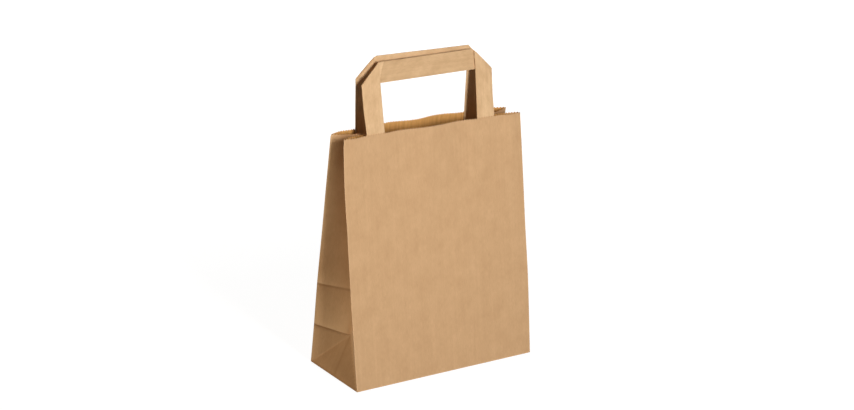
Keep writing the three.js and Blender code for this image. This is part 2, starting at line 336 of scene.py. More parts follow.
class BagShape:
    """Maps the flat sheet to the folded bag.

    A place on the sheet is its run round the tube, from the lap seam's outer edge, and its rise
    above the base fold. Below the fold the rise is negative, and the paper belongs to the base flaps.
    """

    def __init__(self, sheet):
        # Blender holds settings in single precision, and rounding brings their decimals back
        self.half_width = round(sheet.width / 2, 6)
        self.quarter = self.half_width / 2
        self.half_depth = round(sheet.depth / 2, 6)
        self.height = round(sheet.height, 6)
        self.paper = round(sheet.paper, 6)
        self.reach = round(sheet.gusset_reach, 6)
        self.crease = round(sheet.crease_height, 6)
        self.press = round(sheet.press_height, 6)
        self.flap = round(sheet.flap, 6)
        self.drops = sheet.apex_drop, sheet.mouth_drop
        self.fold_bow = sheet.fold_bow
        self.front = self.make_panel(
            FRONT, sheet.front_mouth, sheet.front_bow, 0.0, FRONT_SEED, FRONT_RIPPLE
        )
        self.back = self.make_panel(
            BACK, sheet.back_mouth, sheet.back_bow, sheet.crease_dent, BACK_SEED, BACK_RIPPLE
        )
        self.lap_start = -self.quarter
        self.lap_end = self.lap_start + round(sheet.lap, 6)
        self.runs = [
            ("back", self.lap_start, self.half_width),
            ("left_back", 0.0, self.half_depth),
            ("left_front", self.half_depth, 0.0),
            ("front", -self.half_width, self.half_width),
            ("right_front", 0.0, self.half_depth),
            ("right_back", self.half_depth, 0.0),
            ("back_end", -self.half_width, self.lap_end),
        ]

    def make_panel(self, side, mouth, bow, dent, seed, ripple):
        sine = (self.half_depth - mouth) / self.height
        return Panel(side, bow, dent, sine, math.sqrt(1.0 - sine * sine), seed, ripple)

    # The big panels

    def dent_share(self, rise):
        if rise < self.crease:
            return max(0.0, rise / self.crease)
        return max(0.0, (self.press - rise) / (self.press - self.crease))

    def panel_wave(self, panel, across, rise):
        """The paper's own slight waves, none at the folds."""
        hold = soft_step((self.half_width - abs(across)) / CORNER) * soft_step(rise / WAVE_FOOT)
        if hold <= 0.0:
            return 0.0
        long_wave = paper_wave(LONG_WAVE, across, rise, panel.seed)
        short_wave = paper_wave(SHORT_WAVE, across, rise, panel.seed + SHORT_SEED)
        return hold * (long_wave + short_wave)

    def mouth_ripple(self, panel, across, rise):
        """Between the handle's legs the mouth's edge runs in two soft waves, which fade downwards."""
        ripple = panel.ripple
        x = -panel.side * across
        hold = soft_step((ripple.reach - abs(x - ripple.middle)) / RIPPLE_FADE)
        hold *= rising(rise / self.height, *RIPPLE_RISE)
        swing = math.cos(math.tau * (x - ripple.crest) / ripple.pitch)
        return hold * (ripple.lift + ripple.height * swing)

    def fold_drift(self, panel, across, rise):
        """How far the paper near a side fold lies off the straight line of that fold."""
        share = rising(abs(across), self.quarter, self.quarter)
        if share == 0.0:
            return 0.0
        hand = RIGHT if panel.side * across < 0.0 else LEFT
        out = 0.0
        if panel is self.front:
            out = self.fold_bow * math.sin(math.pi * rise / self.height)
            if hand == RIGHT:
                out += FLARE * (1.0 - rising(rise, *FLARE_FADE))
        hump = FOLD_HUMPS.get((panel.side, hand))
        if hump and hump.low < rise < hump.high:
            out += hump.out * math.sin(math.pi * (rise - hump.low) / (hump.high - hump.low)) ** 2
        turn = TURN_INS.get((panel.side, hand))
        if turn:
            out -= turn.deep * max(0.0, 1.0 - (self.height - rise) / turn.height) ** 2
        return out * share * (1 if across > 0.0 else -1)

    def corner_swell(self, across, rise):
        """Between a side fold and the handle's leg the mouth stands out a little."""
        share = (self.half_width - abs(across)) / CORNER
        if not 0.0 < share < 1.0:
            return 0.0
        return CORNER_SWELL * math.sin(math.pi * share) ** 2 * rising(rise / self.height, *CORNER_RISE)

    def panel_point(self, panel, across, rise, inward=0.0):
        """A point of a panel: across it from left to right seen from outside, up its slope, inward."""
        middle = 1.0 - (across / self.half_width) ** 4
        bow = panel.bow * middle * (rise / self.height) ** 2
        bow += self.mouth_ripple(panel, across, rise)
        out = self.half_depth - rise * panel.sine - panel.dent * self.dent_share(rise)
        out += self.panel_wave(panel, across, rise) + self.corner_swell(across, rise)
        out -= inward * panel.cosine
        x = across + self.fold_drift(panel, across, rise)
        z = rise * panel.cosine - inward * panel.sine
        return Vector((-panel.side * x, panel.side * out + bow, z))

    # The side gussets

    def side_fold(self, hand, at_front, rise):
        if at_front:
            return self.panel_point(self.front, hand * self.half_width, rise)
        return self.panel_point(self.back, -hand * self.half_width, rise)

    def pleat(self, hand, rise):
        """The gusset's middle fold: paper folded in this far hangs lower than at the side folds."""
        front, back = self.side_fold(hand, True, rise), self.side_fold(hand, False, rise)
        half_gap = (front - back).length / 2
        share = (rise - self.crease) / (self.height - self.crease)
        drop = self.drops[0] + (self.drops[1] - self.drops[0]) * share
        fold = (front + back) / 2
        fold.x -= hand * math.sqrt(self.reach**2 - half_gap**2 - drop**2)
        fold.z -= drop
        return fold

    def crease_swell(self, width, rise):
        """The pressed creases across a gusset's back half: swelling from above, dropping off below."""
        total = 0.0
        for crest, swell in ((self.crease, CREASE_SWELL), (self.press, PRESS_SWELL)):
            if rise >= crest:
                total += swell.height * math.exp(-(rise - crest) / swell.run)
            else:
                total += swell.height * max(0.0, 1.0 - (crest - rise) / swell.drop)
        diagonal = width - self.half_depth * min(1.0, rise / self.crease)
        return total * soft_step(-diagonal / SWELL_CLEAR) * soft_step(width / SWELL_START)

    def gusset_point(self, hand, at_front, width, rise):
        """A point of half a gusset: width from the side fold, up the side fold."""
        full = self.half_depth
        if rise < self.crease and width * self.crease > rise * full:
            return self.end_triangle_point(hand, at_front, width, rise)
        if rise < self.crease:
            corner = self.side_fold(hand, at_front, 0.0)
            edge = self.side_fold(hand, at_front, self.crease)
            apex = self.pleat(hand, self.crease)
            point = corner.lerp(edge, rise / self.crease) + (apex - edge) * (width / full)
            chord = apex - edge
        else:
            edge = self.side_fold(hand, at_front, rise)
            fold = self.pleat(hand, rise)
            point = edge.lerp(fold, width / full)
            chord = fold - edge
        outward = Vector((hand * abs(chord.y), (1 if at_front else -1) * abs(chord.x), 0.0))
        outward.normalize()
        opened = rising(rise, self.crease, OPENING)
        share = min(1.0, width / full)
        bulge = BULGE + BULGE_GAIN * rising(rise, *BULGE_RISE)
        swell = bulge * opened * BULGE_PEAK * share * (1.0 - share) ** 2
        if not at_front:
            swell += self.crease_swell(width, rise)
        wave = paper_wave(GUSSET_WAVE, width, rise, hand * GUSSET_SEED + at_front)
        swell += wave * opened * math.sin(math.pi * share)
        return point + outward * swell

    def end_triangle_point(self, hand, at_front, width, rise):
        """The sloping triangle under the gusset, with the flattened middle crease down it."""
        full = self.half_depth
        front, back = self.side_fold(hand, True, 0.0), self.side_fold(hand, False, 0.0)
        apex = self.pleat(hand, self.crease)
        along = width if at_front else 2 * full - width
        slope = apex - (front + back) / 2
        point = front + (back - front) * (along / (2 * full)) + slope * (rise / self.crease)
        outward = Vector((hand * slope.z, 0.0, hand * -slope.x)).normalized()
        valley = max(0.0, 1.0 - abs(along - full) / VALLEY_WIDTH)
        ends = soft_step(rise / VALLEY_FOOT) * soft_step((self.crease - rise) / VALLEY_HEAD)
        return point - outward * (VALLEY_DEPTH * valley * ends)

    # The base flaps

    def flared(self, x, y, z):
        """A point of the base, which is a little wider at its front right corner."""
        share = rising(x, self.quarter, self.quarter) * (self.half_depth - y) / (2 * self.half_depth)
        return Vector((x + FLARE * share, y, z))

    def panel_flap_point(self, panel, across, depth, layer):
        """The long flaps lie flat under the base, and their corners are folded back at the mitre."""
        beside = self.half_width - abs(across)
        x, y = -panel.side * across, panel.side * (self.half_depth - depth)
        lift = layer
        if panel is self.front:
            lift += LAYER * rising(min(depth, beside), *FLAP_OVERLAP)
        if beside < depth - HAIR:
            x, y = math.copysign(self.half_width - depth, x), panel.side * (self.half_depth - beside)
            lift += TURNED_LIFT * soft_step((depth - beside) / FLAP_BEND)
        return self.flared(x, y, lift)

    def end_flap_point(self, hand, at_front, width, depth):
        y = (FRONT if at_front else BACK) * (self.half_depth - width)
        lift = END_LIFT * soft_step(depth / FLAP_BEND)
        return self.flared(hand * (self.half_width - depth), y, lift)

    # The whole sheet

    def place(self, run):
        """The part of the sheet that a run round the tube falls on, and the place across that part."""
        for name, start, end in self.runs:
            length = abs(end - start)
            if run <= length or name == "back_end":
                return name, start + run if end > start else start - run
            run -= length

    def sharp_point(self, run, rise):
        """The sheet with folds of no radius."""
        name, across = self.place(run)
        if name in PANELS:
            panel = self.front if name == "front" else self.back
            wall = soft_step(rise / LAP_FOOT)
            outer = inner = 0.0
            if name == "back":
                outer = LAP_LIFT * (1.0 - rising(across, self.lap_end, LAP_RAMP)) * wall
            if name == "back_end":
                inner = LAP_LIFT * rising(across, self.lap_start - LAP_LEAD, LAP_RAMP) * (1.0 - wall)
            if rise < 0.0:
                return self.panel_flap_point(panel, across, -rise, inner)
            return self.panel_point(panel, across, rise, inner - outer)
        hand = LEFT if name.startswith("left") else RIGHT
        at_front = name.endswith("front")
        if rise < 0.0:
            return self.end_flap_point(hand, at_front, across, -rise)
        return self.gusset_point(hand, at_front, across, rise)

    def fold_lines(self):
        """The runs of the six folds along the tube."""
        lines, run = [], 0.0
        for _, start, end in self.runs[:-1]:
            run += abs(end - start)
            lines.append(run)
        return lines

    def rounding(self, run, rise):
        """How far the paper is rounded off there: the rear side folds grow soft towards the mouth."""
        lines = self.fold_lines()
        for number in REAR_FOLDS:
            if abs(run - lines[number]) < 2 * SOFT_CORNER:
                return FOLD_RADIUS + rising(rise, *SOFT_RISE) * (SOFT_CORNER - FOLD_RADIUS)
        return FOLD_RADIUS

    def point(self, run, rise):
        """The sheet with rounded folds: the mean of the sharp sheet around the place."""
        radius = self.rounding(run, rise)
        points = [self.sharp_point(run, rise)] * 2
        for share in (-1.0, -0.5, 0.5, 1.0):
            points.append(self.sharp_point(max(0.0, run + share * radius), rise))
        for share in (-1.0, 1.0):
            points.append(self.sharp_point(run, rise + share * FOLD_RADIUS))
        return sum(points, Vector()) / len(points)

    def diagonal(self, run, rise):
        """Signed distance of a place from the diagonal crease or mitre of its part, or None."""
        name, across = self.place(run)
        if name in PANELS and rise < HAIR:
            return self.half_width - abs(across) + rise
        if name not in PANELS and -HAIR < rise < self.crease + HAIR:
            return across - rise * self.half_depth / self.crease
        return None

    def on_diagonal(self, run, rise):
        distance = self.diagonal(run, rise)
        return distance is not None and abs(distance) < ON_LINE

    # The paper's tone

    def painted_crease_shading(self, tone, share, rise):
        """Adds the painted light and shade of a gusset's back half's pressed creases: a painted
        highlight above each, painted shade below.

        The lower one loses its painted groove shade on the way in to the middle fold, and its painted
        light grows.
        """
        inner = rising(share, *GROOVE_LOSS)
        below = SHADE_BELOW * max(0.0, 1.0 - SHADE_BELOW_FADE * share)
        lower = CreaseShading(
            crest=self.crease,
            light=1.1 + rising(share, *LIGHT_GAIN),
            run_up=(14 + 18 * inner) * MM,
            reach=self.press - self.crease,
            groove=Mark(inner * 1.4 - 1.4, GROOVE_WIDTH),
            run_down=10 * MM,
        )
        upper = CreaseShading(
            crest=self.press,
            light=1.0,
            run_up=6 * MM,
            reach=self.height - self.press,
            groove=Mark(-1.0, GROOVE_WIDTH),
            run_down=16 * MM,
        )
        for press in (lower, upper):
            above = rise - press.crest
            if 0.0 <= above < press.reach:
                tone = max(tone, press.light * math.exp(-above / press.run_up))
            elif above < 0.0:
                tone += below * math.exp(above / press.run_down)
            tone += mark_at(press.groove, above + GROOVE_DROP)
        return tone

    def painted_gusset_shading(self, across, rise):
        """Towards the mouth a gusset's back half gets painted light beside its side fold and painted
        shade behind that, and lower down a band of painted shade beside the fold.
        """
        beside = math.exp(-across / LIT_STRIP)
        lit = LIT_TONE * rising(rise, *LIT_RISE)
        dim = DIM_TONE * rising(rise, *DIM_RISE) * (1.0 - rising(rise, *DIM_END))
        shade = SHADE_TONE * rising(rise, *SHADE_RISE) * soft_step((SHADE_END - across) / SHADE_FADE)
        return beside * (lit + dim) + shade * (1.0 - beside)

    def wear(self, run, rise):
        """The paper's tone at a place, up to about 2 and below 0: lighter on rubbed folds and the lap's
        edge, with painted highlights, and darker with painted shade and shadow.
        """
        name, across = self.place(run)
        light = mark_at(LAP_EDGE, run) if name == "back" else 0.0
        dull_and_painted_shade = 0.0
        for number, line in enumerate(self.fold_lines()):
            if number in MIDDLE_FOLDS and 0.0 < rise < self.crease:
                dull_and_painted_shade += mark_at(FLAT_CREASE, run - line)
            else:
                light = max(light, mark_at(RUBBED_FOLD, run - line))
        if name in PANELS:
            light = max(light, mark_at(RUBBED_FOLD, rise))
        else:
            # Painted shadow along the gusset's foot at the floor
            dull_and_painted_shade += mark_at(FLOOR_SHADOW, rise)
        diagonal = self.diagonal(run, rise)
        if diagonal is not None and rise > 0.0:
            light = max(light, mark_at(RUBBED_DIAGONAL, diagonal))
            # Painted shade over the end triangle
            if name not in PANELS:
                dull_and_painted_shade += TRIANGLE_SHADE * soft_step(diagonal / TRIANGLE_FADE)
        tone = light + dull_and_painted_shade
        if name.endswith("_back"):
            # Painted highlight and shade of the gusset's pressed creases
            tone = self.painted_crease_shading(tone, across / self.half_depth, rise)
            # Painted light beside the gusset's side fold and painted shade behind it
            tone += self.painted_gusset_shading(across, rise)
        if name == "back_end":
            tone += mark_at(LAP_SHADE, across - self.lap_start + LAP_SHADE_GAP)
        return tone


# The body

# Places of rows and columns in millimetres: from a fold, the middle fold, the lap seam's edge, the
# crease, the pressed line and the mouth
CELL = 2.5
FOLD_STEPS = [0.35, 0.8]
MIDDLE_STEPS = [1.2, 2.0, 3.0]
MIDDLE_CLEAR = 3.6
LAP_STEPS = (0.4, 0.8, 1.4)
CREASE_STEPS = (0.6, 1.6, 3.2, 6, 10, 15, 20, 25, 30)
PRESS_STEPS = (-6, -4, -2.8, -2, -1.4, -0.8, 0, 0.8, 2.2, 4.5, 8, 13, 20)
UPPER_STEPS = tuple(range(28, 125, 8))
MOUTH_STEPS = (11, 8, 5.5, 3.5, 2.2)
NOTCH_ROOM = 1e-5
SMOOTH_PAPER = math.radians(32)


def steps_from_fold(length):
    """Places away from a fold: close together beside it, then a cell apart."""
    count = round(length / (CELL * MM))
    return [0.0] + [step * MM for step in FOLD_STEPS] + [CELL * MM * i for i in range(1, count + 1)]


def gusset_steps(half_depth):
    """Places across half a gusset, close together at both of its folds."""
    near = [step for step in steps_from_fold(half_depth) if step < half_depth - MIDDLE_CLEAR * MM]
    return near + [half_depth - gap * MM for gap in reversed(FOLD_STEPS + MIDDLE_STEPS)] + [half_depth]


def each_once(places):
    """Places in order, those within a hair of each other taken as one."""
    return sorted(set(round(place, 7) for place in places))


def sheet_columns(shape):
    """Runs of the sheet's columns, each once."""
    panel = [shape.half_width - step for step in steps_from_fold(shape.half_width)]
    panel = each_once(panel + [-v for v in panel])
    gusset = gusset_steps(shape.half_depth)
    columns, before = [], 0.0
    for name, start, end in shape.runs:
        length = abs(end - start)
        if name in PANELS:
            local = [v - start for v in panel if start - ON_LINE <= v <= end + ON_LINE]
        else:
            local = gusset if end > start else [length - v for v in reversed(gusset)]
        if name == "back_end":
            local += [shape.lap_start - start - gap * MM for gap in LAP_STEPS]
        columns += [before + v for v in local]
        before += length
    return each_once(columns)


def sheet_rows(shape):
    """Rises of the sheet's rows, close together at the folds and the pressed creases."""
    scale = shape.crease / shape.half_depth
    rows = [-step for step in steps_from_fold(shape.flap)]
    rows += [step * scale for step in gusset_steps(shape.half_depth)]
    rows += [shape.crease + gap * MM for gap in CREASE_STEPS]
    rows += [shape.press + gap * MM for gap in PRESS_STEPS + UPPER_STEPS]
    rows += [shape.height - gap * MM for gap in MOUTH_STEPS]
    return each_once(rows)


def cut_place(shape, run):
    """The part of the sheet at a run, and the run's place across the bag when it lies flat."""
    name, across = shape.place(run)
    return name, across if name in PANELS else shape.half_width - across


def tooth(shape, sheet, run):
    """How deep the toothed cut is at a run: all layers are cut at once, flat, so the teeth line up."""
    _, flat = cut_place(shape, run)
    share = (flat / sheet.tooth_pitch) % 1.0
    return sheet.tooth_depth * (1.0 - abs(2.0 * share - 1.0))


def notch_between(shape, start, end, pitch):
    """The run of the notch between two columns, if one lies there."""
    middle = (start + end) / 2
    name, flat = cut_place(shape, middle)
    nearest = (math.floor(flat / pitch) + 0.5) * pitch
    grows = name in PANELS + ("left_front", "right_back")
    run = middle + (nearest - flat if grows else flat - nearest)
    return run if start + NOTCH_ROOM < run < end - NOTCH_ROOM else None


def weave_sheet(shape, sheet):
    """The sheet's outer face as one grid with a toothed top edge."""
    grid = bmesh.new()
    flat_place = grid.loops.layers.uv.new("flat")
    wear = grid.verts.layers.float.new("wear")
    columns, rows = sheet_columns(shape), sheet_rows(shape)
    places = {}

    def add(run, rise):
        vert = grid.verts.new(shape.point(run, rise))
        vert[wear] = shape.wear(run, rise)
        places[vert] = (run, rise)
        return vert

    def add_at_cut(run):
        return add(run, shape.height - tooth(shape, sheet, run))

    def face(*corners):
        new = grid.faces.new(corners)
        for loop in new.loops:
            loop[flat_place].uv = places[loop.vert]

    verts = [[add(run, rise) for run in columns] for rise in rows]
    for j in range(len(rows) - 1):
        for i in range(len(columns) - 1):
            a, b = verts[j][i], verts[j][i + 1]
            c, d = verts[j + 1][i + 1], verts[j + 1][i]
            on = [shape.on_diagonal(*places[corner]) for corner in (a, b, c, d)]
            if on[0] and on[2]:
                face(a, b, c)
                face(a, c, d)
            elif on[1] and on[3]:
                face(a, b, d)
                face(b, c, d)
            else:
                face(a, b, c, d)
    top = [add_at_cut(run) for run in columns]
    for i in range(len(columns) - 1):
        a, b = verts[-1][i], verts[-1][i + 1]
        notch = notch_between(shape, columns[i], columns[i + 1], sheet.tooth_pitch)
        if notch is None:
            face(a, b, top[i + 1], top[i])
        else:
            low = add_at_cut(notch)
            face(a, low, top[i])
            face(a, b, low)
            face(b, top[i + 1], low)
    return grid


def link_piece(name, grid):
    """Makes a mesh object of a grid, and leaves it selected and active."""
    mesh = bpy.data.meshes.new(name)
    grid.to_mesh(mesh)
    grid.free()
    piece = bpy.data.objects.new(name, mesh)
    bpy.context.scene.collection.objects.link(piece)
    bpy.ops.object.select_all(action="DESELECT")
    piece.select_set(True)
    bpy.context.view_layer.objects.active = piece
    return piece


def thicken(piece, thickness, offset):
    """Gives the sheet its thickness, and marks the side that it grows to."""
    outer = len(piece.data.vertices)
    solid = piece.modifiers.new("thickness", "SOLIDIFY")
    solid.thickness = thickness
    solid.offset = offset
    bpy.ops.object.modifier_apply(modifier=solid.name)
    inside = piece.data.attributes.new("inside", "FLOAT", "POINT")
    for vert in piece.data.vertices:
        inside.data[vert.index].value = 0.0 if vert.index < outer else 1.0


def hand_over(piece, node, material):
    """Dresses a finished piece, hangs it under the frame's root and hides the frame's part that it
    stands for.
    """
    piece.data.materials.clear()
    piece.data.materials.append(material)
    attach(piece, "root")
    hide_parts(node)


class BAG_OT_fold_sheet(bpy.types.Operator):
    """Fold the bag's body from one sheet: panels, gussets, block bottom and lap seam."""

    bl_idname = "paper_bag.fold_sheet"
    bl_label = "Fold the sheet"

    def execute(self, context):
        sheet = context.scene.bag_sheet
        shape = BagShape(sheet)
        body = link_piece("bag_sheet", weave_sheet(shape, sheet))
        thicken(body, sheet.paper, -1.0)
        bpy.ops.object.shade_smooth_by_angle(angle=SMOOTH_PAPER)
        material = kraft_paper("kraft_sheet", sheet.colour, sheet.inside_colour)
        hand_over(body, "bag_body", material)
        return {"FINISHED"}


# The handles

TOUCH = 1e-6
FOLD_OVER_STEPS = 8

# Edges longer than these shares of the strip's width are its sides and its cross lines
SIDE_EDGE, SIDE_CUTS = 1.6, 13
CROSS_EDGE, CROSS_CUTS = 0.8, 5

# Above the mouth a handle comes off its panel over one length, and curls over the other
LEAVING = 24 * MM
CURL_START = 20 * MM
SHARP_EDGE = math.radians(60)
SMOOTH_STRIP = math.radians(40)


def pick_verts(piece, test):
    """In edit mode, selects the vertices that pass a test on their place, and nothing else."""
    bpy.ops.mesh.select_mode(type="VERT")
    bpy.ops.mesh.select_all(action="DESELECT")
    edit = bmesh.from_edit_mesh(piece.data)
    for vert in edit.verts:
        vert.select = test(vert.co)
    edit.select_flush(True)
    bmesh.update_edit_mesh(piece.data)


def pick_places(piece, *places):
    """In edit mode, selects the vertices that lie at the given places."""
    pick_verts(piece, lambda co: any((co - place).length < TOUCH for place in places))


def cut_long_edges(piece, length, cuts):
    """In edit mode, cuts up the edges that are longer than a length, and no others."""
    bpy.ops.mesh.select_mode(type="EDGE")
    bpy.ops.mesh.select_all(action="DESELECT")
    edit = bmesh.from_edit_mesh(piece.data)
    for edge in edit.edges:
        edge.select_set(edge.calc_length() > length)
    bmesh.update_edit_mesh(piece.data)
    bpy.ops.mesh.subdivide(number_cuts=cuts)


def pull_out(x, z):
    """In edit mode, extrudes what is selected in the plane of the strip."""
    bpy.ops.mesh.extrude_region_move(TRANSFORM_OT_translate={"value": (x, 0, z)})


def fold_over(piece, low, high, radius, turn):
    """Folds the strip's slanted end edge over towards the bag's inside, or back out of it.

    The paper crosses the fold at 45 degrees, so it winds along the fold as it goes round.
    """
    middle = (low + high) / 2 + Vector((0, turn * radius, 0))
    axis = (high - low).normalized() * turn
    pick_places(piece, low, high)
    before = len(bmesh.from_edit_mesh(piece.data).verts)
    bpy.ops.mesh.spin(steps=FOLD_OVER_STEPS, angle=math.pi, center=middle, axis=axis)
    edit = bmesh.from_edit_mesh(piece.data)
    edit.verts.ensure_lookup_table()
    for vert in edit.verts[before:]:
        arm = vert.co - middle
        arm -= arm.project(axis)
        vert.co += axis * radius * math.atan2(math.hypot(arm.x, arm.z), -turn * arm.y)
    bmesh.update_edit_mesh(piece.data)


def flat_strip(name, handles, half_span, top):
    """The strip folded over at 45 degrees at both top corners, upright on the plane of y = 0.

    The mouth lies at z = 0. The legs are on the outside and the bar lies behind them.
    """
    wide = handles.strip_width
    radius = (handles.strip_thickness + handles.fold_gap) / 2
    wound = math.pi * radius / math.sqrt(2)
    low, tuck = top - wide, handles.reach - top
    inner = half_span - wide
    behind = 2 * radius
    bpy.ops.object.select_all(action="DESELECT")
    bpy.ops.mesh.primitive_plane_add(
        size=wide, location=(wide / 2 - half_span, 0, wide / 2 - tuck), rotation=(math.pi / 2, 0, 0)
    )
    strip = bpy.context.object
    strip.name = strip.data.name = name
    bpy.ops.object.transform_apply(location=True, rotation=True, scale=True)
    bpy.ops.object.mode_set(mode="EDIT")
    # The first leg, up to a slanted edge, and over its fold
    pick_places(strip, Vector((-half_span, 0, wide - tuck)), Vector((-inner, 0, wide - tuck)))
    fold = low - wound
    pull_out(0, fold + tuck - wide)
    pick_places(strip, Vector((-inner, 0, fold)))
    bpy.ops.transform.translate(value=(0, 0, wide))
    fold_over(strip, Vector((-half_span, 0, fold)), Vector((-inner, 0, fold + wide)), radius, 1)
    # The bar, to an edge that slants the other way, and back over its fold
    corner = Vector((wound - half_span, behind, low))
    upper = Vector((wound - inner, behind, low + wide))
    pick_places(strip, corner, upper)
    pull_out(2 * (inner - wound), 0)
    corner.x += 2 * (inner - wound)
    pick_places(strip, corner)
    bpy.ops.transform.translate(value=(2 * wide, 0, 0))
    corner = Vector((half_span - wound, behind, low))
    upper = Vector((inner - wound, behind, low + wide))
    fold_over(strip, corner, upper, radius, -1)
    # The second leg, to a square end
    pick_places(strip, Vector((half_span, 0, fold)), Vector((inner, 0, fold + wide)))
    pull_out(0, -fold - tuck)
    pick_places(strip, Vector((inner, 0, wide - tuck)))
    bpy.ops.transform.translate(value=(0, 0, -wide))
    cut_long_edges(strip, SIDE_EDGE * wide, SIDE_CUTS)
    cut_long_edges(strip, CROSS_EDGE * wide, CROSS_CUTS)
    bpy.ops.mesh.select_all(action="SELECT")
    bpy.ops.mesh.normals_make_consistent(inside=False)
    bpy.ops.object.mode_set(mode="OBJECT")
    return strip


def lay_out_strip(strip, wide):
    """Writes each place's way along the strip and across it as the strip's flat map."""
    edit = bmesh.new()
    edit.from_mesh(strip.data)
    lowest = min(vert.co.z for vert in edit.verts)
    row = [vert for vert in edit.verts if vert.co.z < lowest + TOUCH and vert.co.x < 0]
    row.sort(key=lambda vert: vert.co.x)
    seen, along, places = set(row), 0.0, {}
    while row:
        for i, vert in enumerate(row):
            places[vert] = (wide * i / (len(row) - 1), along)
        beside = [[edge.other_vert(vert) for edge in vert.link_edges] for vert in row]
        ahead = [[vert for vert in choice if vert not in seen] for choice in beside]
        if not all(ahead):
            break
        following = [choice[0] for choice in ahead]
        middle = len(row) // 2
        along += (following[middle].co - row[middle].co).length
        row = following
        seen.update(row)
    flat_place = edit.loops.layers.uv.new("flat")
    for each in edit.faces:
        for loop in each.loops:
            loop[flat_place].uv = places[loop.vert]
    edit.to_mesh(strip.data)
    edit.free()
    return along


HandlePose = namedtuple("HandlePose", "panel half_span top lean slant shift tilt splay twist")
POSE_SETTINGS = ("lean", "slant", "shift", "tilt", "splay")


def handle_poses(shape, handles):
    """How the front and the rear handle stand; only the front one's legs are twisted."""
    poses = []
    for name, panel, twist in (("front", shape.front, handles.twist), ("rear", shape.back, 0.0)):
        half_span = shape.half_width - getattr(handles, name + "_inset")
        top = getattr(handles, name + "_rise")
        own = {setting: getattr(handles, name + "_" + setting) for setting in POSE_SETTINGS}
        poses.append(HandlePose(panel, half_span, top, twist=twist, **own))
    return poses


def splay_shift(place, low, splay):
    """How far a leg has closed towards the other one at a place below the bar."""
    if place.z >= low:
        return 0.0
    return -math.copysign(math.tan(splay) * (low - place.z), place.x)


def settle_strip(strip, shape, pose, handles):
    """Lays the legs on the panel's inside, and leans the rest of the handle over the mouth."""
    panel = pose.panel
    depth = shape.paper + handles.glue + handles.strip_thickness / 2
    inner = pose.half_span - handles.strip_width
    leg_middle = (inner + pose.half_span) / 2
    legs = (pose.shift - leg_middle, pose.shift + leg_middle)
    feet = [shape.panel_point(panel, leg, shape.height, depth) for leg in legs]
    foot = (feet[0] + feet[1]) / 2
    low = pose.top - handles.strip_width
    up = Vector((0, -panel.side * math.sin(pose.lean), math.cos(pose.lean)))
    inwards = Vector((0, -panel.side * math.cos(pose.lean), -math.sin(pose.lean)))
    for vert in strip.data.vertices:
        place = vert.co.copy()
        across = place.x + pose.shift + splay_shift(place, low, pose.splay)
        place.z += place.x * math.tan(pose.tilt) * soft_step(place.z / low)
        if place.z <= 0.0:
            vert.co = shape.panel_point(panel, across, shape.height + place.z, depth + place.y)
            continue
        across += math.tan(pose.slant) * place.z
        leaving = shape.panel_point(panel, across, shape.height, depth)
        share = soft_step(place.z / LEAVING)
        start = Vector((-panel.side * across, leaving.y + share * (foot.y - leaving.y), foot.z))
        wave = paper_wave(STRIP_WAVE, place.x, place.z, panel.seed + STRIP_SEED)
        turned = math.tan(pose.twist) * max(0.0, abs(place.x) - inner)
        curl = (wave + turned) * soft_step(place.z / CURL_START)
        vert.co = start + up * place.z + inwards * (place.y + curl)
    strip.data.update()


def fold_handle(name, shape, pose, handles):
    """One handle: folded flat, laid on its panel, then given the thickness of its plies."""
    strip = flat_strip(name, handles, pose.half_span, pose.top)
    long = lay_out_strip(strip, handles.strip_width)
    settle_strip(strip, shape, pose, handles)
    thicken(strip, handles.strip_thickness, 0.0)
    rounded = strip.modifiers.new("rounded edges", "BEVEL")
    rounded.width = handles.strip_thickness / 4
    rounded.segments = 2
    rounded.limit_method = "ANGLE"
    rounded.angle_limit = SHARP_EDGE
    bpy.ops.object.modifier_apply(modifier=rounded.name)
    bpy.ops.object.shade_smooth_by_angle(angle=SMOOTH_STRIP)
    return strip, long


class BAG_OT_fold_handles(bpy.types.Operator):
    """Fold both handle strips and lay their legs inside the panels."""

    bl_idname = "paper_bag.fold_handles"
    bl_label = "Fold the handles"

    def execute(self, context):
        handles = context.scene.bag_handles
        shape = BagShape(context.scene.bag_sheet)
        material = kraft_paper(
            "kraft_strip", handles.colour, handles.reverse_colour, streaked=0.35, mottled=0.9, strip=True
        )
        for name, pose in zip(("front", "rear"), handle_poses(shape, handles)):
            strip, long = fold_handle(name + "_strip", shape, pose, handles)
            hand_over(strip, name + "_handle", material)
        return {"FINISHED"}


# The patches

MIDDLE_CUTS = [i * 7.5 * MM for i in range(-5, 6)]
PATCH_ROWS = 9

# A patch follows the closing legs, but not at its ends or over this much of its middle
PATCH_END = 5 * MM
PATCH_MIDDLE = 30 * MM


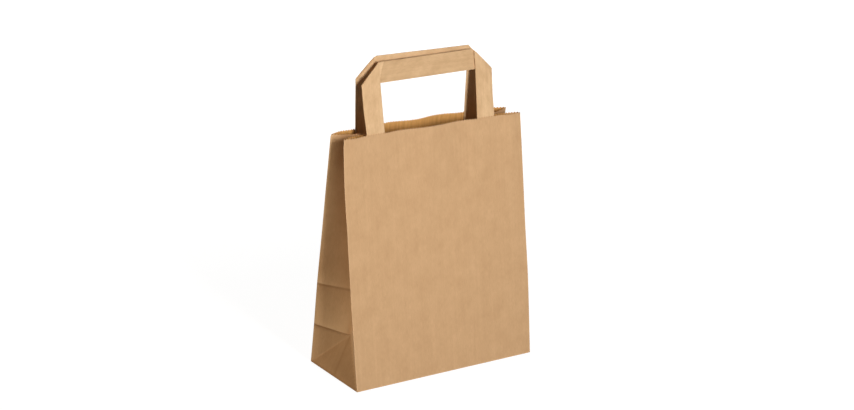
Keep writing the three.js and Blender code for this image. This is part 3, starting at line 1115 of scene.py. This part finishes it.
def flat_patch(name, half, handles, patches):
    """The patch upright on the plane of y = 0, raised over both legs, with the mouth at z = 0."""
    wide = 2 * (half + patches.margin)
    top, bottom = -patches.drop, -patches.drop - patches.height
    bpy.ops.object.select_all(action="DESELECT")
    bpy.ops.mesh.primitive_plane_add(
        size=1, location=(0, 0, (top + bottom) / 2), rotation=(math.pi / 2, 0, 0)
    )
    patch = bpy.context.object
    patch.name = patch.data.name = name
    bpy.ops.transform.resize(value=(wide, 1, top - bottom))
    bpy.ops.object.transform_apply(location=True, rotation=True, scale=True)
    bpy.ops.object.mode_set(mode="EDIT")
    leg_out, leg_in = half + handles.glue, half - handles.strip_width - handles.glue
    edges = [leg_out + patches.ramp, leg_out, leg_in, leg_in - patches.ramp]
    cuts = sorted(end * edge for edge in edges for end in (-1, 1))
    for cut in cuts + MIDDLE_CUTS:
        bpy.ops.mesh.select_all(action="SELECT")
        bpy.ops.mesh.bisect(plane_co=(cut, 0, 0), plane_no=(1, 0, 0))
    for i in range(1, PATCH_ROWS):
        rise = bottom + (top - bottom) * i / PATCH_ROWS
        bpy.ops.mesh.select_all(action="SELECT")
        bpy.ops.mesh.bisect(plane_co=(0, 0, rise), plane_no=(0, 0, 1))
    pick_verts(patch, lambda co: leg_in - TOUCH < abs(co.x) < leg_out + TOUCH)
    bpy.ops.transform.translate(value=(0, handles.strip_thickness + handles.glue, 0))
    bpy.ops.object.mode_set(mode="OBJECT")
    flat_place = patch.data.uv_layers.active or patch.data.uv_layers.new(name="flat")
    flat_place.name = "flat"
    for loop in patch.data.loops:
        place = patch.data.vertices[loop.vertex_index].co
        flat_place.data[loop.index].uv = (place.x, place.z)
    return patch, (wide, top - bottom)


def glue_patch(name, shape, pose, handles, patches):
    """One patch: cut flat, laid on the panel and the legs, then given its thickness."""
    patch, flat = flat_patch(name, pose.half_span, handles, patches)
    low = pose.top - handles.strip_width
    lift = shape.paper + handles.glue
    for vert in patch.data.vertices:
        place = vert.co.copy()
        from_end = flat[0] / 2 - abs(place.x)
        follows = soft_step(from_end / PATCH_END) * soft_step(abs(place.x) / PATCH_MIDDLE)
        across = place.x + pose.shift + follows * splay_shift(place, low, pose.splay)
        vert.co = shape.panel_point(pose.panel, across, shape.height + place.z, lift + place.y)
    patch.data.update()
    thicken(patch, shape.paper, 1.0 if faces_inside(patch, pose.panel) else -1.0)
    bpy.ops.object.shade_smooth_by_angle(angle=SMOOTH_PAPER)
    return patch, flat


def faces_inside(patch, panel):
    """Whether the thin patch's faces look towards the bag's inside."""
    return sum(polygon.normal.y for polygon in patch.data.polygons) * -panel.side > 0


class BAG_OT_glue_patches(bpy.types.Operator):
    """Glue the paper patches over the handles' legs."""

    bl_idname = "paper_bag.glue_patches"
    bl_label = "Glue the patches"

    def execute(self, context):
        handles, patches = context.scene.bag_handles, context.scene.bag_patches
        shape = BagShape(context.scene.bag_sheet)
        material = kraft_paper("kraft_patch", patches.colour, patches.colour)
        for name, pose in zip(("front", "rear"), handle_poses(shape, handles)):
            patch, flat = glue_patch(name + "_patch", shape, pose, handles, patches)
            hand_over(patch, name + "_handle_patch", material)
        return {"FINISHED"}


# The papers

# Cells of each pattern in a metre of flat paper, across the grain and along it
FIBRES = (2600, 240, 1)
STREAKS = (420, 14, 1)
CLOUDS = (75, 55, 1)
SPECKS = (1500, 700, 1)

# Level and warmth of the darkest and the lightest fibres
DARK_FIBRE = (0.72, 0.11)
LIGHT_FIBRE = (1.3, -0.065)

# How much the worn folds and the painted light and shade show, and how much rougher the inside is
# streaked
WEAR_AND_SHADING_SHOWN = 0.28
INSIDE_STREAKS = 0.9

# Colour sockets of a Mix node
MIX_A, MIX_B, MIX_RESULT = 6, 7, 2

# The painted light and shade of a crease on a bar: its slant, the stretch of strip that it tones, and
# the tones along that
BAR_SLANT = 0.514
BAR_START, BAR_END = 93.1 * MM, 115.1 * MM
BAR_TONES = ((0.15, 0.68), (0.71, 0.7), (0.75, 0.32), (0.8, 0.42))
PLAIN_TONE = 0.5


def add_node(tree, kind, **settings):
    """Adds a shader node; names with a leading capital are its input sockets."""
    node = tree.nodes.new(kind)
    for name, value in settings.items():
        if name[0].isupper():
            node.inputs[name.replace("_", " ")].default_value = value
        else:
            setattr(node, name, value)
    return node


def stretched_noise(tree, place, stretch, detail, roughness=0.55):
    """Noise on the flat sheet, stretched along the paper's grain."""
    mapping = add_node(tree, "ShaderNodeMapping", Scale=stretch)
    grain = add_node(tree, "ShaderNodeTexNoise", Scale=1.0, Detail=detail, Roughness=roughness)
    tree.links.new(place, mapping.inputs["Vector"])
    tree.links.new(mapping.outputs["Vector"], grain.inputs["Vector"])
    return grain.outputs["Fac"]


def scaled(tree, value, factor, offset=0.0):
    """value * factor + offset."""
    node = add_node(tree, "ShaderNodeMath", operation="MULTIPLY_ADD")
    tree.links.new(value, node.inputs[0])
    node.inputs[1].default_value = factor
    node.inputs[2].default_value = offset
    return node.outputs[0]


def centred(tree, value, span):
    """A pattern between 0 and 1 brought to a span about 0."""
    return scaled(tree, value, span, -span / 2)


def joined(tree, first, second, operation="ADD"):
    """Two values taken together, by default added."""
    node = add_node(tree, "ShaderNodeMath", operation=operation)
    tree.links.new(first, node.inputs[0])
    tree.links.new(second, node.inputs[1])
    return node.outputs[0]


def mapped(tree, value, **span):
    """A value taken from one span to another."""
    node = add_node(tree, "ShaderNodeMapRange", **span)
    tree.links.new(value, node.inputs["Value"])
    return node.outputs["Result"]


def grey(level):
    return (level, level, level, 1.0)


def shade(colour, level, warmth=0.0):
    """A paper colour made lighter or darker, and warmer in the dark."""
    return (
        min(1.0, colour[0] * level),
        min(1.0, colour[1] * level * (1.0 - warmth)),
        min(1.0, colour[2] * level * (1.0 - 2.0 * warmth)),
        1.0,
    )


def paper_ramp(tree, value, colour):
    """Darker fibres, the paper's own colour and lighter fibres along one value."""
    ramp = add_node(tree, "ShaderNodeValToRGB")
    stops = ramp.color_ramp.elements
    stops[0].position, stops[0].color = 0.0, shade(colour, *DARK_FIBRE)
    stops[1].position, stops[1].color = 1.0, shade(colour, *LIGHT_FIBRE)
    stops.new(0.5).color = shade(colour, 1.0)
    tree.links.new(value, ramp.inputs["Fac"])
    return ramp.outputs["Color"]


def painted_bar_crease(tree, flat):
    """The painted light and shade of a soft crease that slants over the bar by its first folded corner:
    a painted highlight before, painted shade after.
    """
    place = add_node(tree, "ShaderNodeSeparateXYZ")
    tree.links.new(flat, place.inputs["Vector"])
    past = joined(tree, place.outputs["Y"], scaled(tree, place.outputs["X"], BAR_SLANT))
    ramp = add_node(tree, "ShaderNodeValToRGB")
    stops = ramp.color_ramp.elements
    stops[1].color = grey(PLAIN_TONE)
    stops[0].color = grey(PLAIN_TONE)
    for position, level in BAR_TONES:
        stops.new(position).color = grey(level)
    tree.links.new(mapped(tree, past, From_Min=BAR_START, From_Max=BAR_END), ramp.inputs["Fac"])
    return scaled(tree, ramp.outputs["Color"], 1.0, -PLAIN_TONE)


def kraft_paper(name, colour, inside_colour, streaked=0.2, mottled=0.44, strip=False):
    """Brown kraft: fibres along the grain, cloudy mottling, a few dark specks, rubbed folds and the
    painted light and shade carried with them.
    """
    material = bpy.data.materials.new(name)
    material.use_nodes = True
    tree = material.node_tree
    paper = tree.nodes["Principled BSDF"]
    paper.inputs["Specular IOR Level"].default_value = 0.15
    flat = add_node(tree, "ShaderNodeUVMap", uv_map="flat").outputs["UV"]
    fibres = stretched_noise(tree, flat, FIBRES, detail=3.0, roughness=0.6)
    streaks = stretched_noise(tree, flat, STREAKS, detail=2.0)
    clouds = stretched_noise(tree, flat, CLOUDS, detail=4.0, roughness=0.6)
    specks = stretched_noise(tree, flat, SPECKS, detail=1.0)
    speck = mapped(tree, specks, From_Min=0.7, From_Max=0.8, To_Min=0.0, To_Max=-0.22)
    wear = add_node(tree, "ShaderNodeAttribute", attribute_name="wear").outputs["Fac"]
    value = joined(tree, scaled(tree, fibres, 0.5, offset=0.25), centred(tree, streaks, streaked))
    value = joined(tree, value, centred(tree, clouds, mottled))
    value = joined(tree, value, speck)
    value = joined(tree, value, scaled(tree, wear, WEAR_AND_SHADING_SHOWN))
    # A strip's reverse side gets the bar crease's painted light and shade; other papers' insides get
    # rougher streaks
    streaks_and_painted_crease = painted_bar_crease(tree, flat) if strip else centred(tree, streaks, INSIDE_STREAKS)
    inside = add_node(tree, "ShaderNodeAttribute", attribute_name="inside").outputs["Fac"]
    sides = add_node(tree, "ShaderNodeMix", data_type="RGBA")
    tree.links.new(inside, sides.inputs["Factor"])
    tree.links.new(paper_ramp(tree, value, colour), sides.inputs[MIX_A])
    tree.links.new(paper_ramp(tree, joined(tree, value, streaks_and_painted_crease), inside_colour), sides.inputs[MIX_B])
    tree.links.new(sides.outputs[MIX_RESULT], paper.inputs["Base Color"])
    tree.links.new(scaled(tree, clouds, 0.24, offset=0.66), paper.inputs["Roughness"])
    bump = add_node(tree, "ShaderNodeBump", Strength=0.35, Distance=0.12 * MM)
    tree.links.new(joined(tree, fibres, scaled(tree, clouds, 0.6)), bump.inputs["Height"])
    tree.links.new(bump.outputs["Normal"], paper.inputs["Normal"])
    return material


# The stage

# Angles in degrees: azimuth 0 is in front of the bag, positive to the right; wide and tall are how
# large the lamp looks from the bag
Lamp = namedtuple("Lamp", "azimuth elevation distance wide tall colour")
KEY_LAMP = Lamp(
    azimuth=-5, elevation=19.5, distance=1.1, wide=10, tall=22, colour=(1.0, 0.985, 0.965)
)
SIDE_LAMP = Lamp(azimuth=-97, elevation=12, distance=2.0, wide=25, tall=25, colour=(1.0, 0.87, 0.68))
BACK_LAMP = Lamp(azimuth=152, elevation=25, distance=2.0, wide=40, tall=40, colour=(1.0, 1.0, 1.0))
WHITE = grey(1.0)
SENSOR_WIDTH = 36.0
FLOOR_RADIUS = 6.0


def hang_lamp(name, lamp, level):
    """A soft lamp aimed at the bag's middle, where a level of 1 shows paper in its own colour."""
    aim = Vector((0, 0, bpy.context.scene.bag_sheet.height / 2))
    turn, rise = math.radians(lamp.azimuth), math.radians(lamp.elevation)
    out = Vector((math.sin(turn) * math.cos(rise), -math.cos(turn) * math.cos(rise), math.sin(rise)))
    bpy.ops.object.light_add(
        type="AREA", location=aim + out * lamp.distance, rotation=out.to_track_quat("Z", "Y").to_euler()
    )
    light = bpy.context.object
    light.name = light.data.name = name
    light.data.shape = "ELLIPSE"
    light.data.size = 2 * lamp.distance * math.tan(math.radians(lamp.wide / 2))
    light.data.size_y = 2 * lamp.distance * math.tan(math.radians(lamp.tall / 2))
    light.data.energy = math.pi**2 * lamp.distance**2 * level
    light.data.color = lamp.colour


def seen_directly(tree):
    """1 on rays from the camera, and on those that gloss and glass send on."""
    path = add_node(tree, "ShaderNodeLightPath")
    value = path.outputs["Is Camera Ray"]
    for name in ("Is Glossy Ray", "Is Transmission Ray"):
        value = joined(tree, value, path.outputs[name], "MAXIMUM")
    return value


def floor_material():
    """White where it is seen, apart from the bag's faint shadow, and pale in the light it gives back."""
    material = bpy.data.materials.new("pale_floor")
    material.use_nodes = True
    tree = material.node_tree
    pale = tree.nodes["Principled BSDF"]
    pale.inputs["Base Color"].default_value = grey(0.2)
    pale.inputs["Roughness"].default_value = 0.9
    pale.inputs["Specular IOR Level"].default_value = 0.0
    place = add_node(tree, "ShaderNodeTexCoord").outputs["Object"]
    away = add_node(tree, "ShaderNodeVectorMath", operation="LENGTH")
    tree.links.new(place, away.inputs[0])
    level = mapped(
        tree, away.outputs["Value"], From_Min=0.25, From_Max=0.8, To_Min=0.91, To_Max=0.99
    )
    white = add_node(tree, "ShaderNodeEmission", Color=WHITE)
    tree.links.new(joined(tree, level, seen_directly(tree), "MULTIPLY"), white.inputs["Strength"])
    both = add_node(tree, "ShaderNodeAddShader")
    tree.links.new(pale.outputs["BSDF"], both.inputs[0])
    tree.links.new(white.outputs["Emission"], both.inputs[1])
    tree.links.new(both.outputs["Shader"], tree.nodes["Material Output"].inputs["Surface"])
    return material


def paint_world(level):
    """A plain dome of light that looks white behind the floor."""
    world = bpy.data.worlds.new("white_surround")
    world.use_nodes = True
    tree = world.node_tree
    ground = tree.nodes["Background"]
    ground.inputs["Color"].default_value = WHITE
    tree.links.new(scaled(tree, seen_directly(tree), 1.0 - level, level), ground.inputs["Strength"])
    bpy.context.scene.world = world


def place_camera(stage):
    """The camera, turned by its yaw and pitch and then about its line of sight."""
    yaw, pitch, roll = stage.camera_yaw, stage.camera_pitch, stage.camera_roll
    flat = math.cos(pitch)
    ahead = Vector((math.sin(yaw) * flat, math.cos(yaw) * flat, -math.sin(pitch)))
    level = Vector((math.cos(yaw), -math.sin(yaw), 0.0))
    right = math.cos(roll) * level + math.sin(roll) * level.cross(ahead)
    turn = Matrix((right, right.cross(ahead), -ahead)).transposed()
    bpy.ops.object.camera_add(location=stage.camera_place, rotation=turn.to_euler())
    camera = bpy.context.object
    camera.name = camera.data.name = "photo_camera"
    camera.data.sensor_width = SENSOR_WIDTH
    camera.data.lens = stage.lens
    bpy.context.scene.camera = camera


class BAG_OT_set_stage(bpy.types.Operator):
    """Set up the camera, the pale floor and the lamps."""

    bl_idname = "paper_bag.set_stage"
    bl_label = "Set the stage"

    def execute(self, context):
        stage = context.scene.bag_stage
        bpy.ops.object.select_all(action="DESELECT")
        place_camera(stage)
        bpy.ops.mesh.primitive_circle_add(
            vertices=64, radius=FLOOR_RADIUS, fill_type="NGON", location=(0, 0, -LAYER)
        )
        floor = context.object
        floor.name = floor.data.name = "pale_floor"
        floor.data.materials.append(floor_material())
        hang_lamp("key_lamp", KEY_LAMP, stage.key_level)
        hang_lamp("side_lamp", SIDE_LAMP, stage.side_level)
        hang_lamp("back_lamp", BACK_LAMP, stage.back_level)
        paint_world(stage.dome_level)
        context.scene.view_settings.view_transform = "Standard"
        return {"FINISHED"}


class BAG_PT_bag(bpy.types.Panel):
    """The bag's steps and sizes in the sidebar."""

    bl_label = "Paper Bag"
    bl_idname = "BAG_PT_bag"
    bl_space_type = "VIEW_3D"
    bl_region_type = "UI"
    bl_category = "Paper Bag"

    def draw(self, context):
        for settings, operator in (
            (context.scene.bag_sheet, BAG_OT_fold_sheet),
            (context.scene.bag_handles, BAG_OT_fold_handles),
            (context.scene.bag_patches, BAG_OT_glue_patches),
            (context.scene.bag_stage, BAG_OT_set_stage),
        ):
            box = self.layout.box()
            box.operator(operator.bl_idname)
            for name in type(settings).__annotations__:
                box.prop(settings, name)


CLASSES = (
    BAG_PG_sheet,
    BAG_PG_handles,
    BAG_PG_patches,
    BAG_PG_stage,
    BAG_OT_fold_sheet,
    BAG_OT_fold_handles,
    BAG_OT_glue_patches,
    BAG_OT_set_stage,
    BAG_PT_bag,
)
SETTINGS = {
    "bag_sheet": BAG_PG_sheet,
    "bag_handles": BAG_PG_handles,
    "bag_patches": BAG_PG_patches,
    "bag_stage": BAG_PG_stage,
}


def register():
    for each in CLASSES:
        bpy.utils.register_class(each)
    for name, group in SETTINGS.items():
        setattr(bpy.types.Scene, name, PointerProperty(type=group))


def unregister():
    for name in SETTINGS:
        delattr(bpy.types.Scene, name)
    for each in reversed(CLASSES):
        bpy.utils.unregister_class(each)


def main():
    register()
    bpy.ops.paper_bag.fold_sheet()
    bpy.ops.paper_bag.fold_handles()
    bpy.ops.paper_bag.glue_patches()
    bpy.ops.paper_bag.set_stage()


if __name__ == "__main__":
    main()
